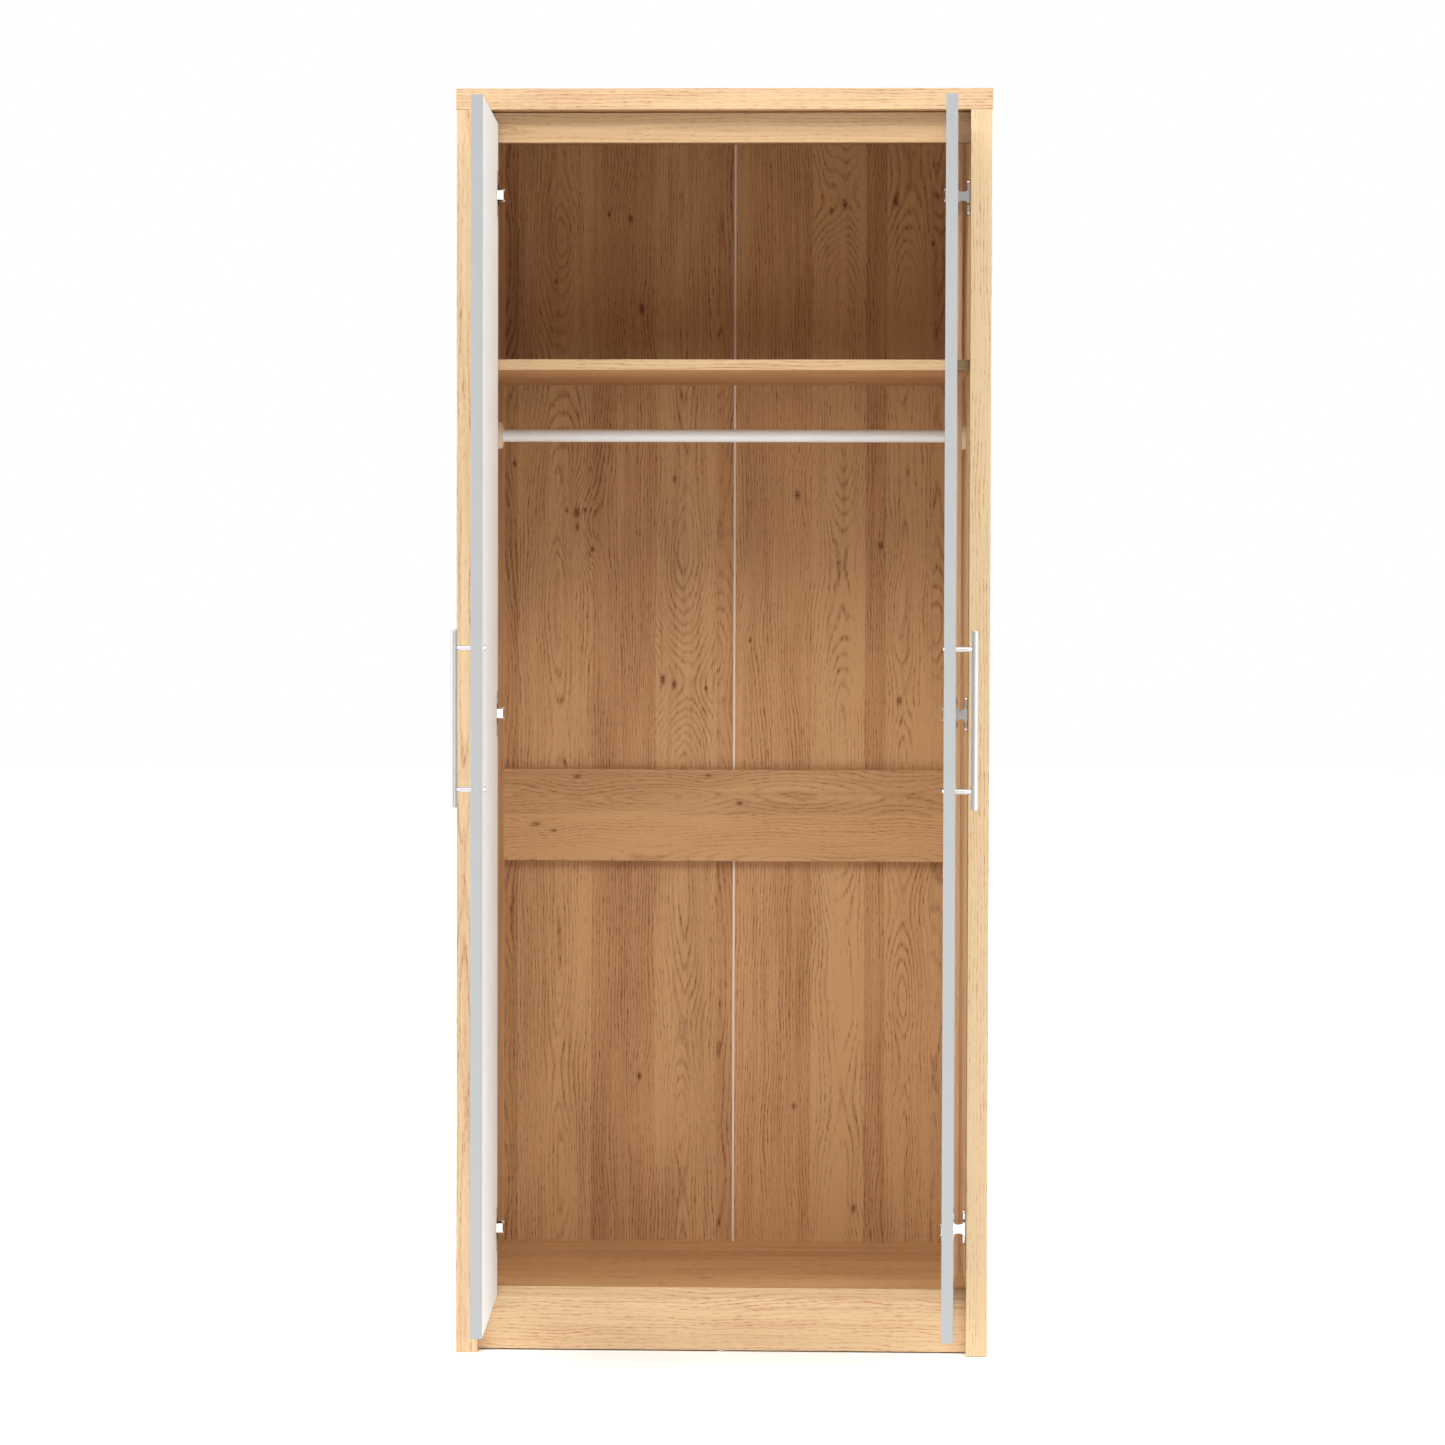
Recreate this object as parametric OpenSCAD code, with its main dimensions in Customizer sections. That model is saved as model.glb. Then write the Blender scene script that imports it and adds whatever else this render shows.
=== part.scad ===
// Two-door wardrobe, flat-pack board construction.
// The origin is on the floor at the centre of the carcase's footprint. +X is to the
// right seen from the front, +Y points to the back and +Z is up.
// The doors are drawn open, as they stand at joint value 0.

/* [Carcase] */
// Overall width, across the top panel
overall_w = 760; // [700:10:900]
// Overall height
overall_h = 1800; // [1750:10:2000]
// Overall depth of the carcase, without the handles
overall_d = 470; // [440:5:600]
// Thickness of the two side panels
side_t = 30; // [28:1:36]
// Thickness of the top panel
top_t = 30; // [24:1:36]
// How far the top panel stands out past each side panel
top_overhang = 1; // [0:0.5:3]
// Thickness of the boards inside the carcase
board_t = 15; // [15:1:18]
// Radius of the eased edges of the boards
edge_r = 0.8; // [0.3:0.1:1]

/* [Inside] */
// Distance from the front edges to the top rail, bottom panel and plinth
front_recess = 25; // [25:1:34]
// Height of the rail under the top panel
top_rail_h = 42; // [40:0.5:80]
// Gap between the top rail and the top panel
top_rail_gap = 1.5; // [0.5:0.5:3]
// Height of the bottom panel's underside above the floor
plinth_top_z = 76.5; // [70:0.5:110]
// Gap between the plinth and the floor
plinth_gap = 1.5; // [1:0.5:5]
// Height of the shelf's underside above the floor
shelf_z = 1403.5; // [1380:0.5:1450]
// Distance from the front edges to the shelf
shelf_recess = 25; // [25:1:60]
// Height of the lower edge of the batten across the back
batten_z = 677; // [500:1:800]
// Height of the batten
batten_h = 140; // [80:1:160]
// Height of the hanging rail's axis
rail_z = 1318; // [1250:1:1340]
// Diameter of the hanging rail
rail_d = 19; // [16:0.5:25]
// Diameter of the hanging rail's end sockets
socket_d = 40; // [36:1:46]
// How far the end sockets stand out from the side panels
socket_h = 17; // [14:1:24]

/* [Back] */
// Thickness of the back panels
back_t = 3; // [2.5:0.5:4]
// Distance from the rear edges to the back panels
back_inset = 15; // [10:1:25]
// Sideways offset of the joint between the two back panels
back_joint_x = 3; // [-10:1:10]
// Width of the strip that shows between the back panels
back_strip_w = 3; // [2:0.5:6]

/* [Doors] */
// Thickness of a door
door_t = 16; // [15:0.5:16]
// Distance from the front edges to the closed doors
door_recess = 0; // [0:0.1:0.3]
// Gap between a closed door and its side panel
door_side_gap = 2; // [2:0.1:2.5]
// Gap between the two closed doors
door_mid_gap = 2; // [1.5:0.5:4]
// Height of the doors' lower edges above the floor
door_z = 77.5; // [77:0.5:90]
// Gap between the doors and the top panel
door_top_gap = 17.5; // [3:0.5:20]
// Angle that the left door stands open
open_left = 88.4; // [0:0.1:95]
// Angle that the right door stands open
open_right = 87.5; // [0:0.1:95]

/* [Handles] */
// Length of a handle bar
bar_len = 242; // [220:1:320]
// Diameter of a handle bar
bar_d = 9; // [8:0.5:12]
// Distance between a handle's two posts
post_pitch = 192; // [160:32:192]
// Diameter of a handle post
post_d = 7.5; // [6:0.5:8]
// Distance from the door's face to the bar's axis
bar_reach = 25; // [22:1:35]
// Distance from the door's free edge to the handle
handle_inset = 40; // [25:1:50]

/* [Hinges] */
// Distance from the side panel's face to the hinge pin
pin_u = 17.4; // [17.2:0.1:17.6]
// Distance from the door's hinge edge to the centre of the hinge cup
cup_inset = 21; // [20.8:0.1:21.2]
// Distance from the door's upper edge to the top hinge
hinge_top_inset = 102; // [80:1:150]
// Distance from the door's lower edge to the bottom hinge
hinge_bottom_inset = 100; // [80:1:150]

/* [Hidden] */
$fn = 48;

// Colours
oak = "#E3C090";
oak_inside = "#B98A5C";
oak_back = "#9A6A42";
white = "#E4E0DB";
grey = "#C9CBCA";
steel = "#D8D8D6";
cream = "#C2AA88";
beech = "#D9B98A";

// A small length that carries a cut past the face it starts from
over = 1;

// Carcase planes. u is measured from a side panel's inner face towards the middle
// of the wardrobe, and v from the plane of the front edges towards the back.
inner_half = overall_w / 2 - top_overhang - side_t;
side_h = overall_h - top_t;
front_y = -overall_d / 2;
back_v = overall_d - back_inset - back_t;
batten_v = back_v - board_t;

// Grooves that hold the back panels
groove_depth = 6;
groove_slack = 0.2;
back_low_z = plinth_top_z - 15;
back_high_z = side_h + groove_depth - over;
strip_flange_w = 22;
strip_flange_t = 1;

// Hanging rail and its sockets
rail_v = back_v / 2;
socket_floor = 4;
socket_slack = 0.1;
socket_nose_r = 14;
socket_screw_d = 3.5;
socket_screw_len = 14;
socket_screw_head_d = 7;
rail_end_u = socket_floor + over;

// Steel pins that carry the shelf, half in its ends and half in the side panels
pin_d = 5;
pin_in = 10;
pin_out = 9;
shelf_pin_v = [60, back_v - 60];
shelf_pin_z = shelf_z + board_t / 2;
shelf_slack = 0.5;

// Glides under the two plinth boards
glide_d = 14;
glide_spigot_d = 5;
glide_spigot_h = 8;
plinth_rear_v = batten_v - 10;

// Cam fasteners: a disc of cam_d sits on a bolt cam_reach from the joint
cam_d = 15;
cam_low = 5;
cam_high = 7.5;
cam_reach = 34;
cam_step = 14;
dowel_step = 18;
batten_step = 25;
bolt_d = 7;
bolt_thread_d = 6;
bolt_thread_len = 11;
dowel_d = 8;
dowel_half = 15;
dowel_in_side = 12;
plinth_mid_z = (plinth_gap + plinth_top_z) / 2;
top_rail_z = side_h - top_rail_gap - top_rail_h;
bottom_cam_v = [75, back_v - 70];
bottom_dowel_v = [125, back_v - 120];
// Each row: board, v, z and the side that its pocket opens to
cam_sites = [
    ["bottom_panel", bottom_cam_v.x, plinth_top_z + board_t / 2, "down"],
    ["bottom_panel", bottom_cam_v.y, plinth_top_z + board_t / 2, "down"],
    ["top_rail", front_recess + board_t / 2, top_rail_z + cam_step, "back"],
    ["plinth_front", front_recess + board_t / 2, plinth_mid_z - cam_step, "back"],
    ["plinth_rear", plinth_rear_v + board_t / 2, plinth_mid_z - cam_step, "front"],
    ["back_batten", batten_v + board_t / 2, batten_z + batten_step, "back"],
    ["back_batten", batten_v + board_t / 2, batten_z + batten_h - batten_step, "back"]
];
// Each row: board, v and z
dowel_sites = [
    ["bottom_panel", bottom_dowel_v.x, plinth_top_z + board_t / 2],
    ["bottom_panel", bottom_dowel_v.y, plinth_top_z + board_t / 2],
    ["top_rail", front_recess + board_t / 2, top_rail_z + cam_step + dowel_step],
    ["plinth_front", front_recess + board_t / 2, plinth_mid_z + cam_step],
    ["plinth_rear", plinth_rear_v + board_t / 2, plinth_mid_z + cam_step],
    ["back_batten", batten_v + board_t / 2, batten_z + batten_h / 2]
];
// Distances from the front to the fasteners between a side panel and the top panel
top_cam_v = [80, overall_d - 90];
top_dowel_v = [40, overall_d - 45];
cam_cap_d = 18;
cam_cap_t = 1;

// Nails through the back panels
nail_pitch = 96;
nail_count = 7;
nail_d = 1.4;
nail_len = 18;
nail_head_d = 3.6;
nail_head_t = 0.6;
nail_rows = [plinth_top_z + board_t / 2, shelf_z + board_t / 2];

// Doors, drawn closed and then swung about their hinge pins
door_w = inner_half - door_side_gap - door_mid_gap / 2;
door_h = side_h - door_top_gap - door_z;
door_mid_z = door_z + door_h / 2;
door_inner_v = door_recess + door_t;
facing_t = 0.8;
edging_t = 1;
hinge_low_z = door_z + hinge_bottom_inset;
hinge_high_z = door_z + door_h - hinge_top_inset;
hinge_zs = [hinge_low_z, (hinge_low_z + hinge_high_z) / 2, hinge_high_z];

// Hinge cup, let into the inner face of a door, and the pin that crosses it
pin_sink = 10.1;
pin_v = door_inner_v - pin_sink;
cup_u = door_side_gap + cup_inset;
cup_d = 35;
cup_depth = 13;
cup_wall = 1.5;
cup_floor = 0.6;
flange_t = 1.2;
flange_wing_d = 16;
flange_pitch = 48;
flange_round_d = 39;
flange_offset = 6;
hinge_pin_d = 2;
hinge_pin_half = 16;
pin_slack = 0.05;
cup_screw_d = 3.5;
cup_screw_len = 12;
cup_screw_head_d = 7;
cup_screw_head_h = 1;

// Hinge arm: an eye on the pin, a bent leg out of the cup, a crank and a channel
arm_w = 12.6;
arm_wall = 1.8;
arm_eye_r = 1.9;
leg_angle = 17;
leg_len = 18.2;
pin_at = [pin_u, pin_v];
elbow_at = pin_at + leg_len * [cos(leg_angle), sin(leg_angle)];
crank_at = pin_at + [18.8, 12.9];
crank_back_v = 32;
channel_low_u = 3;
channel_high_u = 10;
channel_end_v = 88;
flare_u = 0.5;
flare_half = 9.5;
flare_r = 8;
flare_t = 1.4;
flare_bite = 0.4;
ear_w = 2.4;
ear_u = 4;
ear_v = 8;
ear_gap = 0.4;

// Mounting plate on the side panel
plate_t = 2;
plate_v = 54;
plate_wing_w = 15;
plate_wing_t = 3.4;
plate_wing_r = 3;
plate_wing_z = 8.5;
plate_h = 51;
plate_screw_pitch = 32;
rib_w = 9.8;
rib_u = 8;
rib_front_v = 38;
rib_back_v = 82;
plate_screw_d = 5;
plate_screw_len = 13;
plate_screw_head_d = 8.5;
plate_screw_head_h = 1.2;
arm_screw_v = [48, 70];
arm_screw_d = 4;
arm_screw_head_d = 7;
arm_screw_head_h = 2;
arm_screw_in = 5;

// Handles
handle_u = door_side_gap + door_w - handle_inset;
bar_end_r = 1.5;
post_neck_d = 5;
post_neck_h = 3;
handle_screw_d = 4;
handle_hole_d = 5;
handle_screw_in = 12;
handle_screw_head_d = 8.4;
handle_screw_head_h = 2;

function rows_for(board, sites) = [for (site = sites) if (site[0] == board) site];
function open_angle(side) = side < 0 ? open_left : open_right;

// ---- Placing ----

// Draws its children in the u, v, z frame of the left (-1) or right (1) side panel
module at_side(side) {
    if (side < 0)
        translate([-inner_half, front_y, 0]) children();
    else
        mirror([1, 0, 0]) translate([-inner_half, front_y, 0]) children();
}

// Draws its children, given for a closed door, on the open door of one side
module on_door(side) {
    at_side(side)
        translate([pin_u, pin_v, 0]) rotate(-open_angle(side)) translate([-pin_u, -pin_v, 0])
            children();
}

// A cylinder along the u or X axis
module rod_x(r, len) {
    rotate([0, 90, 0]) cylinder(r = r, h = len);
}

// A cylinder along the v or Y axis
module rod_y(r, len) {
    rotate([-90, 0, 0]) cylinder(r = r, h = len);
}

// ---- Shapes ----

// A rectangle with its corners rounded by r
module rounded_rect(w, h, r) {
    translate([r, 0]) square([w - 2 * r, h]);
    translate([0, r]) square([w, h - 2 * r]);
    for (x = [r, w - r], y = [r, h - r]) translate([x, y]) circle(r = r);
}

// A board whose twelve edges are eased by r
module eased_board(size, r) {
    intersection() {
        linear_extrude(size.z) rounded_rect(size.x, size.y, r);
        rotate([90, 0, 90]) linear_extrude(size.x) rounded_rect(size.y, size.z, r);
        translate([0, size.y, 0]) rotate([90, 0, 0])
            linear_extrude(size.y) rounded_rect(size.x, size.z, r);
    }
}

// A board across the inside of the carcase, from v to v + depth and z to z + height
module cross_board(v, z, depth, height, slack = 0) {
    translate([-inner_half + slack, front_y + v, z])
        eased_board([2 * (inner_half - slack), depth, height], edge_r / 2);
}

// A cross-headed screw along +Z: its head's underside is at 0 and the tip at -len
module pan_screw(d, len, head_d, head_h) {
    recess_w = d / 4;
    difference() {
        union() {
            translate([0, 0, -len]) cylinder(d = d, h = len);
            cylinder(d1 = head_d, d2 = head_d * 0.7, h = head_h);
        }
        for (a = [0, 90])
            rotate(a) translate([-head_d / 4, -recess_w / 2, head_h / 2])
                cube([head_d / 2, recess_w, head_h]);
    }
}

// ---- Cam fasteners and dowels ----
// The local frame of a cam has its bolt along +X, towards the joint, and the mouth
// of its pocket towards +Z.

module cam_frame(site) {
    translate([cam_reach, site[1], site[2]]) {
        if (site[3] == "down") rotate([0, 180, 0]) children();
        if (site[3] == "back") rotate([90, 0, 0]) rotate([0, 180, 0]) children();
        if (site[3] == "front") rotate([-90, 0, 0]) rotate([0, 180, 0]) children();
    }
}

module top_cam_frame(v) {
    translate([-side_t / 2, v, side_h - cam_reach]) rotate([0, -90, 180]) children();
}

module cam_disc() {
    slot_w = 2;
    difference() {
        translate([0, 0, -cam_low]) cylinder(d = cam_d, h = cam_low + cam_high);
        translate([-bolt_d / 2, 0, 0]) rod_x(bolt_d / 2, cam_d);
        for (a = [0, 90])
            rotate(a) translate([-cam_d / 4, -slot_w / 2, cam_high - slot_w])
                cube([cam_d / 2, slot_w, slot_w + over]);
    }
}

module cam_bolt() {
    head_half = 2;
    neck_end = 6;
    translate([-head_half, 0, 0]) rod_x(bolt_d / 2, 2 * head_half);
    rod_x(bolt_thread_d / 4, cam_reach);
    translate([neck_end, 0, 0]) rod_x(bolt_d / 2, cam_reach - neck_end);
    translate([cam_reach - over, 0, 0]) rod_x(bolt_thread_d / 2, bolt_thread_len + over);
}

module cam_pocket(mouth) {
    translate([0, 0, -cam_low]) cylinder(d = cam_d, h = cam_low + mouth + over);
    rod_x(bolt_d / 2, cam_reach + over);
}

// Cuts the pockets, bores and dowel holes of one board at both of its ends
module end_cuts(board) {
    for (side = [-1, 1]) at_side(side) {
        for (site = rows_for(board, cam_sites)) cam_frame(site) cam_pocket(board_t / 2);
        for (site = rows_for(board, dowel_sites))
            translate([-over, site[1], site[2]])
                rod_x(dowel_d / 2, 2 * dowel_half - dowel_in_side + over);
    }
}

module cam_discs() {
    color(steel)
        for (side = [-1, 1]) at_side(side) {
            for (site = cam_sites) cam_frame(site) cam_disc();
            for (v = top_cam_v) top_cam_frame(v) cam_disc();
        }
}

module cam_bolts() {
    color(steel)
        for (side = [-1, 1]) at_side(side) {
            for (site = cam_sites) cam_frame(site) cam_bolt();
            for (v = top_cam_v) top_cam_frame(v) cam_bolt();
        }
}

module cam_caps() {
    color(oak_inside)
        for (side = [-1, 1], v = top_cam_v)
            at_side(side) translate([0, v, side_h - cam_reach])
                rod_x(cam_cap_d / 2, cam_cap_t);
}

module dowels() {
    color(beech)
        for (side = [-1, 1]) at_side(side) {
            for (site = dowel_sites)
                translate([-dowel_in_side, site[1], site[2]]) rod_x(dowel_d / 2, 2 * dowel_half);
            for (v = top_dowel_v)
                translate([-side_t / 2, v, side_h - dowel_half])
                    cylinder(d = dowel_d, h = 2 * dowel_half);
        }
}

// ---- Carcase boards ----

module side_panel(side) {
    at_side(side)
        difference() {
            translate([-side_t, 0, 0]) eased_board([side_t, overall_d, side_h], edge_r);
            translate([-groove_depth, back_v, back_low_z - over])
                cube([groove_depth + over, back_t + groove_slack, side_h]);
            for (site = cam_sites)
                translate([-bolt_thread_len, site[1], site[2]])
                    rod_x(bolt_thread_d / 2, bolt_thread_len + over);
            for (site = dowel_sites)
                translate([-dowel_in_side, site[1], site[2]])
                    rod_x(dowel_d / 2, dowel_in_side + over);
            for (v = top_cam_v) top_cam_frame(v) cam_pocket(side_t / 2);
            for (v = top_dowel_v)
                translate([-side_t / 2, v, side_h - dowel_half])
                    cylinder(d = dowel_d, h = dowel_half + over);
            for (v = shelf_pin_v)
                translate([-pin_in, v, shelf_pin_z]) rod_x(pin_d / 2, pin_in + over);
            translate([-socket_screw_len, rail_v, rail_z])
                rod_x(socket_screw_d / 2, socket_screw_len + over);
            for (z = hinge_zs, dz = [-plate_screw_pitch / 2, plate_screw_pitch / 2])
                translate([-plate_screw_len, plate_v, z + dz])
                    rod_x(plate_screw_d / 2, plate_screw_len + over);
        }
}

module side_panel_left() {
    color(oak) side_panel(-1);
}

module side_panel_right() {
    color(oak) side_panel(1);
}

module top_panel() {
    color(oak)
        difference() {
            translate([-overall_w / 2, front_y, side_h])
                eased_board([overall_w, overall_d, top_t], edge_r);
            translate([-inner_half - groove_depth, front_y + back_v, side_h - over])
                cube([2 * (inner_half + groove_depth), back_t + groove_slack,
                      groove_depth + over]);
            for (side = [-1, 1]) at_side(side) {
                for (v = top_cam_v)
                    translate([-side_t / 2, v, side_h - over])
                        cylinder(d = bolt_thread_d, h = bolt_thread_len + over);
                for (v = top_dowel_v)
                    translate([-side_t / 2, v, side_h - over])
                        cylinder(d = dowel_d, h = dowel_half + over);
            }
        }
}

module top_rail() {
    color(oak)
        difference() {
            cross_board(front_recess, top_rail_z, board_t, top_rail_h);
            end_cuts("top_rail");
        }
}

module bottom_panel() {
    color(oak_inside)
        difference() {
            cross_board(front_recess, plinth_top_z, back_v - front_recess, board_t);
            end_cuts("bottom_panel");
            nail_sites([nail_rows[0]]) nail_hole();
        }
}

module plinth(board, v) {
    difference() {
        cross_board(v, plinth_gap, board_t, plinth_top_z - plinth_gap);
        end_cuts(board);
        translate([0, front_y + v + board_t / 2, plinth_gap - over])
            cylinder(d = glide_spigot_d, h = glide_spigot_h + over);
    }
}

module plinth_front() {
    color(oak) plinth("plinth_front", front_recess);
}

module plinth_rear() {
    color(oak) plinth("plinth_rear", plinth_rear_v);
}

module plinth_glides() {
    color(white)
        for (v = [front_recess, plinth_rear_v])
            translate([0, front_y + v + board_t / 2, 0]) {
                cylinder(d = glide_d, h = plinth_gap);
                cylinder(d = glide_spigot_d, h = plinth_gap + glide_spigot_h);
            }
}

module shelf() {
    color(oak_inside)
        difference() {
            cross_board(shelf_recess, shelf_z, back_v - shelf_recess, board_t, shelf_slack);
            nail_sites([nail_rows[1]]) nail_hole();
            for (side = [-1, 1], v = shelf_pin_v)
                at_side(side) translate([-over, v, shelf_pin_z]) rod_x(pin_d / 2, pin_out + over);
        }
}

module shelf_pins() {
    color(steel)
        for (side = [-1, 1], v = shelf_pin_v)
            at_side(side) translate([-pin_in, v, shelf_pin_z])
                rod_x(pin_d / 2, pin_in + pin_out);
}

module back_batten() {
    color(oak_inside)
        difference() {
            cross_board(batten_v, batten_z, board_t, batten_h);
            end_cuts("back_batten");
        }
}

// ---- Back ----

// Draws its children, a nail along -Y with its head at 0, at every nail of some rows
module nail_sites(rows) {
    first = -(nail_count - 1) / 2;
    for (z = rows, i = [0 : nail_count - 1])
        translate([(first + i) * nail_pitch + nail_pitch / 4, front_y + back_v + back_t, z])
            children();
}

module nail_hole() {
    translate([0, -nail_len, 0]) rod_y(nail_d / 2, nail_len + over);
}

module back_nails() {
    color(steel)
        nail_sites(nail_rows) {
            translate([0, -nail_len, 0]) rod_y(nail_d / 2, nail_len);
            rod_y(nail_head_d / 2, nail_head_t);
        }
}

// A back panel from x_low to x_high
module back_panel(x_low, x_high) {
    color(oak_back)
        difference() {
            translate([x_low, front_y + back_v, back_low_z])
                cube([x_high - x_low, back_t, back_high_z - back_low_z]);
            nail_sites(nail_rows) nail_hole();
        }
}

module back_panel_left() {
    back_panel(-inner_half - groove_depth + over, back_joint_x - back_strip_w / 2);
}

module back_panel_right() {
    back_panel(back_joint_x + back_strip_w / 2, inner_half + groove_depth - over);
}

module back_joint_strip() {
    color(white)
        translate([back_joint_x, front_y + back_v, back_low_z]) {
            strip_h = side_h - back_low_z - over;
            translate([-back_strip_w / 2, 0, 0]) cube([back_strip_w, back_t, strip_h]);
            translate([-strip_flange_w / 2, back_t, 0])
                cube([strip_flange_w, strip_flange_t, strip_h]);
        }
}

// ---- Hanging rail ----

module hanging_rail() {
    tube_wall = 1.2;
    tube_len = 2 * (inner_half - rail_end_u);
    color(steel)
        translate([-inner_half + rail_end_u, front_y + rail_v, rail_z])
            difference() {
                rod_x(rail_d / 2, tube_len);
                translate([-over, 0, 0]) rod_x(rail_d / 2 - tube_wall, tube_len + 2 * over);
            }
}

// Profile of a socket: radius against height, with a rounded nose
module socket_profile() {
    nose = socket_d / 2 - socket_nose_r;
    bore_r = rail_d / 2 + socket_slack;
    difference() {
        union() {
            square([socket_d / 2, socket_h - nose]);
            square([socket_nose_r, socket_h]);
            translate([socket_nose_r, socket_h - nose])
                intersection() {
                    circle(r = nose);
                    square(nose);
                }
        }
        translate([0, socket_floor]) square([bore_r, socket_h]);
        translate([0, -over]) square([socket_screw_d / 2, socket_h]);
    }
}

module rail_socket(side) {
    color(cream)
        at_side(side) translate([0, rail_v, rail_z]) rotate([0, 90, 0])
            rotate_extrude() socket_profile();
}

module rail_socket_left() {
    rail_socket(-1);
}

module rail_socket_right() {
    rail_socket(1);
}

module rail_socket_screws() {
    head_h = 0.9;
    color(steel)
        for (side = [-1, 1])
            at_side(side) translate([socket_floor, rail_v, rail_z]) rotate([0, 90, 0])
                pan_screw(socket_screw_d, socket_screw_len + socket_floor, socket_screw_head_d,
                          head_h);
}

// ---- Hinges ----

// Outline of the mounting plate, in v and z about its screws' centre
module plate_outline() {
    translate([-plate_wing_w / 2, -plate_h / 2])
        rounded_rect(plate_wing_w, plate_h, plate_wing_w / 3);
}

// One of the plate's two raised wings, in the same place and with rounded shoulders
module plate_wing(up) {
    wing_h = plate_h / 2 - plate_wing_z;
    intersection() {
        rotate([90, 0, 90]) linear_extrude(plate_wing_t) plate_outline();
        translate([-plate_wing_t, plate_wing_w, up > 0 ? plate_wing_z : -plate_h / 2])
            rotate([90, 0, 0]) linear_extrude(2 * plate_wing_w)
                rounded_rect(2 * plate_wing_t, wing_h, plate_wing_r);
    }
}

module hinge_plates(side) {
    color(steel)
        at_side(side)
            for (z = hinge_zs)
                difference() {
                    union() {
                        translate([0, plate_v, z]) rotate([90, 0, 90])
                            linear_extrude(plate_t) plate_outline();
                        for (up = [-1, 1]) translate([0, plate_v, z]) plate_wing(up);
                        translate([0, rib_front_v, z - rib_w / 2])
                            cube([rib_u, rib_back_v - rib_front_v, rib_w]);
                    }
                    for (dz = [-plate_screw_pitch / 2, plate_screw_pitch / 2])
                        translate([-over, plate_v, z + dz])
                            rod_x(plate_screw_d / 2, plate_wing_t + 2 * over);
                    for (v = arm_screw_v)
                        translate([rib_u - arm_screw_in, v, z])
                            rod_x(arm_screw_d / 2, arm_screw_in + over);
                }
}

module hinge_plates_left() {
    hinge_plates(-1);
}

module hinge_plates_right() {
    hinge_plates(1);
}

module hinge_plate_screws() {
    color(steel)
        for (side = [-1, 1], z = hinge_zs, dz = [-plate_screw_pitch / 2, plate_screw_pitch / 2])
            at_side(side) translate([plate_wing_t, plate_v, z + dz]) rotate([0, 90, 0])
                pan_screw(plate_screw_d, plate_screw_len + plate_wing_t, plate_screw_head_d,
                          plate_screw_head_h);
}

// A strip of sheet metal seen edge on, from one point to another
module strip(from, to) {
    run = to - from;
    translate(from) rotate(atan2(run.y, run.x)) translate([0, -arm_wall / 2])
        square([norm(run), arm_wall]);
    translate(to) circle(d = arm_wall);
}

// Section of the arm's front half: the eye, the bent leg out of the cup and the crank
module arm_outline() {
    back_at = [crank_at.x, crank_back_v];
    translate(pin_at) circle(r = arm_eye_r);
    strip(pin_at, elbow_at);
    strip(elbow_at, crank_at);
    strip(crank_at, back_at);
    strip(back_at, [channel_high_u - arm_wall / 2, crank_back_v]);
}

// The arm's rear half: a channel that covers the plate's rib
module arm_channel() {
    slack = 0.1;
    difference() {
        translate([channel_low_u, crank_back_v - arm_wall / 2, -arm_w / 2])
            cube([channel_high_u - channel_low_u, channel_end_v - crank_back_v, arm_w]);
        translate([channel_low_u - over, crank_back_v + arm_wall / 2, -rib_w / 2 - slack])
            cube([rib_u + slack - channel_low_u + over, channel_end_v, rib_w + 2 * slack]);
        for (v = arm_screw_v)
            translate([rib_u - over, v, 0]) rod_x(arm_screw_d / 2, channel_high_u);
    }
}

// The plate at the channel's front end, flared towards the side panel
module arm_flare() {
    bite_z = arm_w / 2 + flare_r - flare_bite;
    translate([0, crank_back_v + flare_t / 2, 0]) rotate([90, 0, 0])
        linear_extrude(flare_t)
            difference() {
                translate([flare_u, -flare_half])
                    square([channel_high_u - arm_wall / 2 - flare_u, 2 * flare_half]);
                for (up = [-1, 1]) translate([channel_high_u, up * bite_z]) circle(r = flare_r);
            }
}

module hinge_arm() {
    difference() {
        union() {
            translate([0, 0, -arm_w / 2]) linear_extrude(arm_w) arm_outline();
            arm_channel();
            arm_flare();
            translate([crank_at.x + arm_wall / 2 - ear_u, crank_at.y + ear_gap,
                       -arm_w / 2 - ear_w])
                cube([ear_u, ear_v, arm_w + 2 * ear_w]);
        }
        translate([pin_u, pin_v, -arm_w])
            cylinder(r = hinge_pin_d / 2 + pin_slack, h = 2 * arm_w);
    }
}

module hinge_arms(side) {
    color(steel)
        at_side(side)
            for (z = hinge_zs) translate([0, 0, z]) hinge_arm();
}

module hinge_arms_left() {
    hinge_arms(-1);
}

module hinge_arms_right() {
    hinge_arms(1);
}

module hinge_arm_screws() {
    color(steel)
        for (side = [-1, 1], z = hinge_zs, v = arm_screw_v)
            at_side(side) translate([channel_high_u, v, z]) rotate([0, 90, 0])
                pan_screw(arm_screw_d, channel_high_u - rib_u + arm_screw_in, arm_screw_head_d,
                          arm_screw_head_h);
}

// Outline of the cup's flange, in u and z about the cup's centre
module flange_outline() {
    circle(d = flange_round_d);
    for (dz = [-1, 1]) translate([flange_offset, dz * flange_pitch / 2]) circle(d = flange_wing_d);
    translate([flange_offset - flange_wing_d / 2, -flange_pitch / 2])
        square([flange_wing_d, flange_pitch]);
}

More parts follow.
